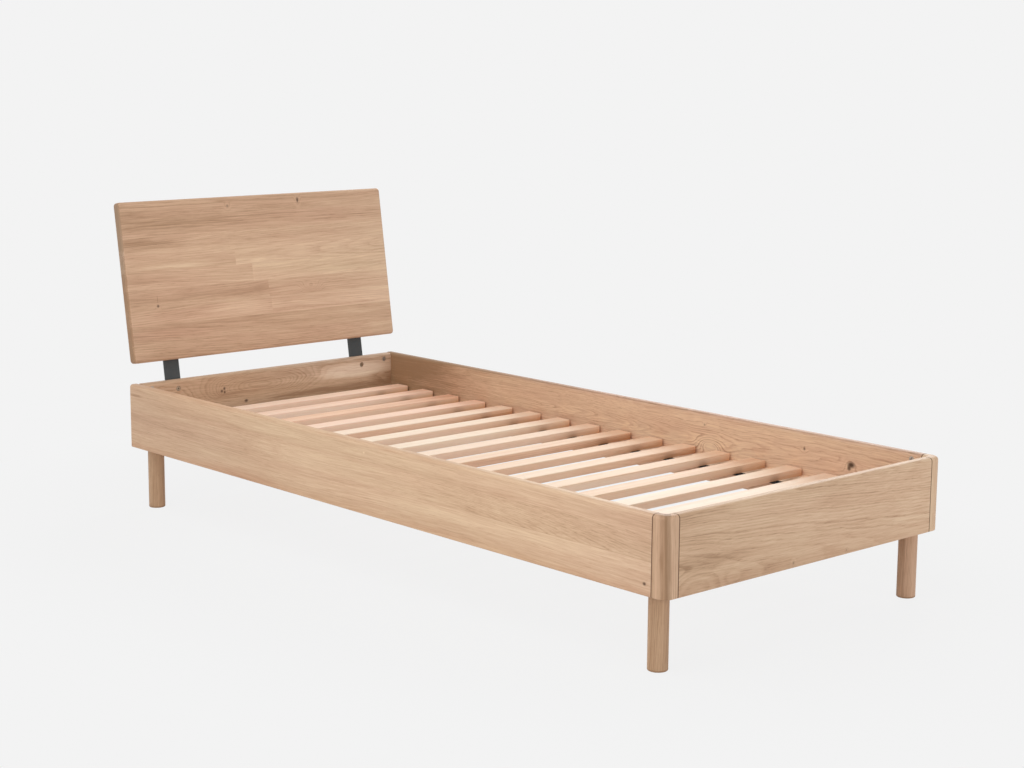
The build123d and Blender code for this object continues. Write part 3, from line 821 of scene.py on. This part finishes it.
# %% Ledgers, blocks and dowels
heart_below = 0.03
for name in ("ledger_left", "ledger_right"):
    low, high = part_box(name)
    ledger_heart = (low.x, 0, low.z - heart_below)
    wooden("pine_" + name, heart=ledger_heart, turn=along_y, tone=0.40, **pine).dress(name)
block_names = sorted(name for name in nodes if name.startswith("corner_block"))
for name in block_names:
    low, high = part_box(name)
    block_heart = (0, low.y, low.z - heart_below)
    wooden("pine_" + name, heart=block_heart, turn=along_x, tone=0.45, **pine).dress(name)
wooden("beech_dowels", heart=(0, 0, 0), turn=along_x, tone=0.55, **pine).dress("rail_dowels")
print("blocks:", len(block_names))

# %% [markdown]
# ## Straps and fasteners
#
# The straps are flat steel bars with a dark matt powder coat, which has the fine dimples of an orange
# peel. The fasteners are zinc plated, a metal whose roughness changes from grain to grain, and the
# strap bolts are the same in a warm brown, which is painted shade of their recesses and painted
# reflection of the wood around them. All are noise at the right size, in the colour a little and in the
# bump or the gloss more.

# %% Straps
coat = Finish("strap_powder_coat", Roughness=0.55, Specular_IOR_Level=0.4)
peel = coat.noise(coat.place, (900.0, 900.0, 900.0), detail=1.0)[0]
coat.surface("Base Color", coat.mix(peel, (0.045, 0.053, 0.057, 1), (0.072, 0.083, 0.089, 1)))
coat.bump(peel, 0.2, 0.0002)
coat.dress("headboard_strap_left", "headboard_strap_right")
coat.dress("strap_washers", "strap_nuts", "headboard_screws")
print("straps dressed")


# %% Fasteners
def plated(name, dull, bright):
    """A plated metal between two colours, from grain to grain."""
    finish = Finish(name, Metallic=1.0)
    grains = finish.noise(finish.place, (500.0, 500.0, 500.0))[0]
    finish.surface("Base Color", finish.mix(grains, dull, bright))
    finish.surface("Roughness", finish.math("MULTIPLY_ADD", grains, 0.2, 0.28))
    return finish


zinc = plated("zinc_plate", (0.36, 0.34, 0.32, 1), (0.66, 0.64, 0.61, 1))
zinc.dress("cam_locks", "cam_bolts", "leg_studs", "leg_inserts", "block_screws", "ledger_screws")
# The strap bolts' warm brown is painted shade of their recesses and painted reflection of the wood
# around them.
painted_shade_bolts = plated("painted_shade_bolt_plate", (0.31, 0.25, 0.185, 1), (0.55, 0.46, 0.36, 1))
painted_shade_bolts.dress("strap_bolts")
print("fasteners dressed")

# %% [markdown]
# ## Webbing
#
# Two black tapes run under the slats and keep their distance. A tape is a plain weave: where a
# warp thread goes over it stands proud, and the next one goes under. Two sine waves, one across and
# one along the tape, with the second shifted from thread to thread, give that chequer.

# %% Webbing
thread = 0.0016
tape = Finish("webbing_tape", Roughness=0.9, Specular_IOR_Level=0.2)
warp, weft = tape.split(tape.place)[:2]
threads = tape.math("DIVIDE", warp, thread)
shift_over = tape.math("MULTIPLY", tape.math("FLOOR", threads), math.pi)
over = tape.math("MULTIPLY_ADD", weft, math.pi / thread, shift_over)
over = tape.math("MULTIPLY_ADD", tape.math("SINE", over), 0.5, 0.5)
thread_round = tape.math("SINE", tape.math("MULTIPLY", tape.math("FRACT", threads), math.pi))
weave = tape.math("MULTIPLY", over, thread_round)
tape.surface("Base Color", tape.mix(weave, (0.008, 0.008, 0.009, 1), (0.038, 0.038, 0.040, 1)))
tape.bump(weave, 0.6, 0.0005)
tape.dress("webbing_left", "webbing_right")
print("webbing dressed")

# %% [markdown]
# ## Staples
#
# Each tape is held to each slat by two wire staples, and their crowns show from below. One staple
# is modelled: a ring of edges is extruded down a leg, spun round the first bend, extruded along the
# crown, spun round the second bend and extruded up again. Copies of it then go to every crossing.

# %% One staple
wire_radius = 0.0005
bend_radius = 0.0010
crown_length = 0.009
leg_length = 0.0012
wire_sides = 6
bend_steps = 3


def swept(mesh, edges, length, direction):
    """Extrudes a ring of edges and hands back the new ring."""
    new = bmesh.ops.extrude_edge_only(mesh, edges=edges)["geom"]
    points = [piece for piece in new if isinstance(piece, bmesh.types.BMVert)]
    edges = [piece for piece in new if isinstance(piece, bmesh.types.BMEdge)]
    bmesh.ops.translate(mesh, verts=points, vec=Vector(direction) * length)
    return [edge for edge in edges if all(vert in points for vert in edge.verts)]


def bent_round(mesh, edges, centre, angle):
    """Spins a ring of edges about an axis along Y and hands back the last ring."""
    last = bmesh.ops.spin(
        mesh, geom=edges, cent=centre, axis=(0, 1, 0), dvec=(0, 0, 0),
        angle=angle, steps=bend_steps, use_merge=False,
    )["geom_last"]
    return [piece for piece in last if isinstance(piece, bmesh.types.BMEdge)]


def staple():
    """One staple in a bmesh of its own: its crown at Z 0, centred, its legs up."""
    mesh = bmesh.new()
    half = crown_length / 2
    bmesh.ops.create_circle(
        mesh, cap_ends=False, segments=wire_sides, radius=wire_radius,
        matrix=Matrix.Translation((-half - bend_radius, 0, bend_radius + leg_length)),
    )
    ring = list(mesh.edges)
    ring = swept(mesh, ring, leg_length, (0, 0, -1))
    ring = bent_round(mesh, ring, (-half, 0, bend_radius), -math.pi / 2)
    ring = swept(mesh, ring, crown_length, (1, 0, 0))
    ring = bent_round(mesh, ring, (half, 0, bend_radius), -math.pi / 2)
    swept(mesh, ring, leg_length, (0, 0, 1))
    bmesh.ops.holes_fill(mesh, edges=[edge for edge in mesh.edges if edge.is_boundary], sides=0)
    bmesh.ops.recalc_face_normals(mesh, faces=mesh.faces)
    return mesh


single = staple()
single_data = bpy.data.meshes.new("staple")
single.to_mesh(single_data)
single.free()
print("points in a staple:", len(single_data.vertices))

# %% All staples
staple_spacing = 0.018
staples = bmesh.new()
for tape_name in ("webbing_left", "webbing_right"):
    tape_low, tape_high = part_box(tape_name)
    tape_middle = (tape_low.x + tape_high.x) / 2
    for name in slat_names:
        low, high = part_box(name)
        slat_middle = (low.y + high.y) / 2
        for side in (-1, 1):
            place = Vector((tape_middle, slat_middle + side * staple_spacing / 2, tape_low.z))
            before = len(staples.verts)
            staples.from_mesh(single_data)
            staples.verts.ensure_lookup_table()
            bmesh.ops.translate(staples, verts=staples.verts[before:], vec=place)
bpy.data.meshes.remove(single_data)
staples_data = bpy.data.meshes.new("webbing_staples")
staples.to_mesh(staples_data)
staples.free()
staples_data.materials.append(zinc.material)
webbing_staples = bpy.data.objects.new("webbing_staples", staples_data)
bpy.context.scene.collection.objects.link(webbing_staples)
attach(webbing_staples, "slat_roll")
print("staple faces:", len(staples_data.polygons))

# %% [markdown]
# ## The floor
#
# The bed stands on a pale floor that runs out of sight. What the camera sees of it, and of the sky
# behind, is one pale grey, so no horizon shows. Close to the bed a little of the floor's own
# shading is kept, which is the bed's soft shadow, and it fades out with the distance. Other rays
# meet a plain white floor, so that it throws light back up on the rails as a real one does.

# %% Floor
background = (0.896, 0.896, 0.896, 1)
floor_size = 40.0
floor_paint = (0.80, 0.80, 0.80, 1)

floor_mesh = bmesh.new()
bmesh.ops.create_grid(floor_mesh, x_segments=1, y_segments=1, size=floor_size / 2)
floor_data = bpy.data.meshes.new("floor")
floor_mesh.to_mesh(floor_data)
floor_mesh.free()
floor = bpy.data.objects.new("floor", floor_data)
bpy.context.scene.collection.objects.link(floor)
print("floor:", floor_size, "m")

# %% Floor finish
shadow_kept = 0.06
shadow_shape = (0.75, 1.0, 0)
shadow_from = 1.9
shadow_to = 1.2


def seen_directly(tree):
    """One where the camera sees a surface, or sees it in metal or glass."""
    path = tree.nodes.new("ShaderNodeLightPath")
    seen = path.outputs["Is Camera Ray"]
    for ray in ("Is Glossy Ray", "Is Transmission Ray"):
        either = tree.nodes.new("ShaderNodeMath")
        either.operation = "MAXIMUM"
        tree.links.new(seen, either.inputs[0])
        tree.links.new(path.outputs[ray], either.inputs[1])
        seen = either.outputs[0]
    return seen


paint = Finish("floor_paint", Base_Color=floor_paint, Roughness=1.0, Specular_IOR_Level=0.0)
from_bed = paint.reach(paint.place, (0, 0, 0), shadow_shape)
kept = paint.step(from_bed, shadow_from, shadow_to, 0.0, shadow_kept)
glow = paint.add("Emission", [background])
glowing = paint.math("MULTIPLY", seen_directly(paint.tree), paint.math("SUBTRACT", 1.0, kept))
blend = paint.add("MixShader", [glowing])
paint.feed(blend.inputs[1], paint.shader.outputs[0])
paint.feed(blend.inputs[2], glow.outputs[0])
paint.feed(paint.tree.nodes["Material Output"].inputs["Surface"], blend.outputs[0])
floor_data.materials.append(paint.material)
print("shadow kept:", shadow_kept)

# %% [markdown]
# ## Light
#
# An even sky fills the shadows. The main lamp is a large soft box behind the right head corner: it
# makes the slat tops bright and leaves their fronts in the shade, and the headboard and the far
# rail cast soft shadows on the slats beside them. A box above the left side keeps those shadows
# open, and two low ones, on the left and in front, light the outside of the rails.

# %% Sky
sky_level = 0.405
world = bpy.data.worlds.new("studio")
world.use_nodes = True
bpy.context.scene.world = world
tree = world.node_tree
sky = tree.nodes["Background"]
sky.inputs["Color"].default_value = (1, 1, 1, 1)
sky.inputs["Strength"].default_value = sky_level
backdrop = tree.nodes.new("ShaderNodeBackground")
backdrop.inputs["Color"].default_value = background
blend = tree.nodes.new("ShaderNodeMixShader")
tree.links.new(seen_directly(tree), blend.inputs[0])
tree.links.new(sky.outputs[0], blend.inputs[1])
tree.links.new(backdrop.outputs[0], blend.inputs[2])
tree.links.new(blend.outputs[0], tree.nodes["World Output"].inputs["Surface"])
print("sky:", sky_level)


# %% Lamps
def soft_lamp(name, place, aim, size, power):
    """A square lamp that looks at a point."""
    data = bpy.data.lights.new(name, "AREA")
    data.size = size
    data.energy = power
    lamp = bpy.data.objects.new(name, data)
    lamp.location = place
    lamp.rotation_euler = (Vector(aim) - Vector(place)).to_track_quat("-Z", "Y").to_euler()
    bpy.context.scene.collection.objects.link(lamp)


soft_lamp("main_lamp", place=(3.4, 1.65, 2.4), aim=(0, 0, 0.25), size=2.6, power=82.0)
soft_lamp("upper_lamp", place=(-1.8, -0.1, 3.4), aim=(0, 0, 0.25), size=2.5, power=46.0)
soft_lamp("left_lamp", place=(-3.6, -1.2, 1.3), aim=(0, -0.4, 0.25), size=2.2, power=39.0)
soft_lamp("front_lamp", place=(0.9, -4.4, 0.8), aim=(0, -1.0, 0.3), size=1.6, power=38.5)
print("stage ready")
